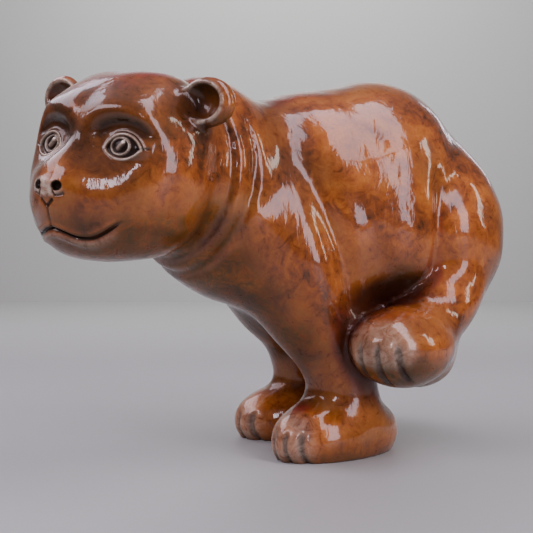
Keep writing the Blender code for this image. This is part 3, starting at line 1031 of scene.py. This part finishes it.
def patinated_bronze():
    """brushed brown patina, dark in hollows with patina and painted shade, bare on rims, under
    glossy wax
    """
    bronze = bpy.data.materials.new("patinated bronze")
    bronze.use_nodes = True
    tree = bronze.node_tree
    shader = tree.nodes["Principled BSDF"]
    place = add_node(tree, "ShaderNodeTexCoord").outputs["Object"]
    finish = add_node(tree, "ShaderNodeAttribute", attribute_name="finish")
    shares = add_node(tree, "ShaderNodeSeparateColor", in_Color=finish.outputs["Color"])
    rubbed_and_highlight, hollow, crimson = shares.outputs
    green = finish.outputs["Alpha"]

    strokes = add_noise(tree, place, STROKE_SCALE, 6.0, 0.65, 1.6)
    torn = add_ramp(tree, strokes, (0.38, grey(0.35)), (0.6, grey(1)))
    bared_and_highlight = worked(tree, "MULTIPLY", rubbed_and_highlight, torn)
    colour = brushed_patina(tree, place, strokes)
    # Olive where the green share is: partly patina, partly painted shade and reflection underneath.
    colour = mixed(tree, worked(tree, "MULTIPLY", green, torn), colour, OLIVE)
    # Crimson: partly patina with painted reflection on top, painted shade in the creases.
    colour = mixed(tree, worked(tree, "MULTIPLY", crimson, torn), colour, CRIMSON)
    # Umber over the hollows: dark patina with painted shade.
    colour = mixed(tree, hollow, colour, UMBER)
    # Pale metal where rubbed, and the painted highlight on the lower lip.
    colour = mixed(tree, bared_and_highlight, colour, PALE)
    specks = add_ramp(
        tree, add_noise(tree, place, SPECK_SCALE, 2.0), (0.35, grey(0.3)), (0.65, grey(1))
    )
    colour = mixed(tree, SPECK_SHARE, colour, specks, "MULTIPLY")
    feed(tree, shader.inputs["Base Color"], colour)

    rough = add_ramp(tree, strokes, (0.3, grey(0.24)), (0.7, grey(0.42)))
    metal = add_ramp(tree, bared_and_highlight, (0.0, grey(0.15)), (1.0, grey(0.40)))
    feed(tree, shader.inputs["Roughness"], rough)
    feed(tree, shader.inputs["Metallic"], metal)
    feed(tree, shader.inputs["Specular IOR Level"], METAL_SHINE)
    matt = worked(tree, "MAXIMUM", hollow, worked(tree, "MULTIPLY", green, GREEN_MATT))
    add_wax(tree, shader, place, matt)
    return bronze


bear_mesh.materials.append(patinated_bronze())
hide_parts("bear")
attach(cast_bear, "root")
print("patina nodes:", len(bear_mesh.materials[0].node_tree.nodes))

# %% [markdown]
# Waxed bronze is read by its reflections. A tall window in front of the belly and a skylight above
# it draw the long pale patch on belly and back. A window high behind lights the forehead, one high
# on the left the bridge of the nose, and narrow ones draw the streaks on cheek, shoulder and rump.
# The wall has a lamp of its own. All are soft, and the floor, the wall and the air are plain.

# %% Floor and light
FLOOR_SIZE = 8.0
STAGE_COLOUR = (0.52, 0.52, 0.50, 1)
STAGE_ROUGHNESS = 0.5
WALL_PLACE = (1.3, 2.2, 0)
WALL_HEADING = radians(-30)

bpy.ops.mesh.primitive_plane_add(size=FLOOR_SIZE, location=(0, 0, 0))
floor = bpy.context.object
floor.name = "pale floor"
pale = bpy.data.materials.new("pale floor")
pale.use_nodes = True
pale.node_tree.nodes["Principled BSDF"].inputs["Base Color"].default_value = STAGE_COLOUR
pale.node_tree.nodes["Principled BSDF"].inputs["Roughness"].default_value = STAGE_ROUGHNESS
floor.data.materials.append(pale)

wall = floor.copy()
wall.data = floor.data.copy()
wall.name = "pale wall"
wall.rotation_euler = (radians(90), 0, WALL_HEADING)
wall.location = WALL_PLACE
bpy.context.scene.collection.objects.link(wall)

LOW_AIR = (0.08, 0.08, 0.08)
LEVEL_AIR = (0.12, 0.12, 0.13)
HIGH_AIR = (0.26, 0.24, 0.30)
air = bpy.data.worlds.new("air")
air.use_nodes = True
sky = air.node_tree
direction = add_node(sky, "ShaderNodeTexCoord").outputs["Generated"]
upward = add_node(sky, "ShaderNodeSeparateXYZ", in_Vector=direction).outputs["Z"]
glow = add_ramp(sky, upward, (0.0, LOW_AIR), (0.3, LEVEL_AIR), (1.0, HIGH_AIR))
sky.links.new(glow, sky.nodes["Background"].inputs["Color"])
sky.nodes["Background"].inputs["Strength"].default_value = 1.0
bpy.context.scene.world = air

LAVENDER = (0.90, 0.84, 1.0)
CREAM = (1.0, 0.93, 0.84)
WHITE = (1.0, 1.0, 0.98)
BEAR = (0, 0, 0.22)
# Each window has a name, a place, its width and height, its power in watts, a colour and a target.
WINDOWS = (
    ("front window", (0.60, -1.80, 0.75), (0.50, 1.3), 13, LAVENDER, BEAR),
    ("skylight", (0.48, -0.80, 1.95), (0.50, 2.2), 19, LAVENDER, (0.48, 0, 0.2)),
    ("window behind", (-0.85, 1.05, 1.45), (2.0, 0.9), 18, LAVENDER, BEAR),
    ("left window", (-1.45, -0.15, 1.25), (0.8, 0.55), 8, LAVENDER, BEAR),
    ("right window", (1.45, -1.00, 0.85), (0.20, 1.0), 5, CREAM, BEAR),
    ("rump window", (1.55, 0.75, 0.95), (0.12, 0.7), 1.0, LAVENDER, BEAR),
    ("cheek gap", (-0.80, -1.60, 0.80), (0.14, 0.6), 4, LAVENDER, BEAR),
    ("wall wash", (0.70, 1.20, 1.65), (1.6, 0.6), 26, WHITE, (1.3, 2.2, 1.2)),
)


def add_window(name, place, size, power, colour, target):
    """a soft rectangle of light that faces its target"""
    lamp = bpy.data.lights.new(name, "AREA")
    lamp.shape = "RECTANGLE"
    lamp.size, lamp.size_y = size
    lamp.energy = power
    lamp.color = colour
    holder = bpy.data.objects.new(name, lamp)
    holder.location = place
    holder.rotation_euler = (Vector(target) - holder.location).to_track_quat("-Z", "Y").to_euler()
    bpy.context.scene.collection.objects.link(holder)


for window in WINDOWS:
    add_window(*window)
print("lights:", [lamp.name for lamp in bpy.data.lights])

# %% [markdown]
# The camera stands where the photographer did, about level with the bear's chest and a metre away,
# so the perspective is the same: head near and large, paws seen slightly from above.

# %% Camera
CAMERA_PLACE = np.array([-580.71, -912.95, 211.82])
CAMERA_HEADING = radians(-30)
CAMERA_PITCH = radians(88.59)
CAMERA_LENS = 69.97
SENSOR_WIDTH = 36.0

lens = bpy.data.cameras.new("camera")
lens.lens = CAMERA_LENS
lens.sensor_width = SENSOR_WIDTH
camera = bpy.data.objects.new("camera", lens)
camera.location = Vector((CAMERA_PLACE - BOX_MIDDLE) * UNIT)
camera.rotation_euler = (CAMERA_PITCH, 0, CAMERA_HEADING)
bpy.context.scene.collection.objects.link(camera)
bpy.context.scene.camera = camera
print("camera at", [round(value, 3) for value in camera.location])
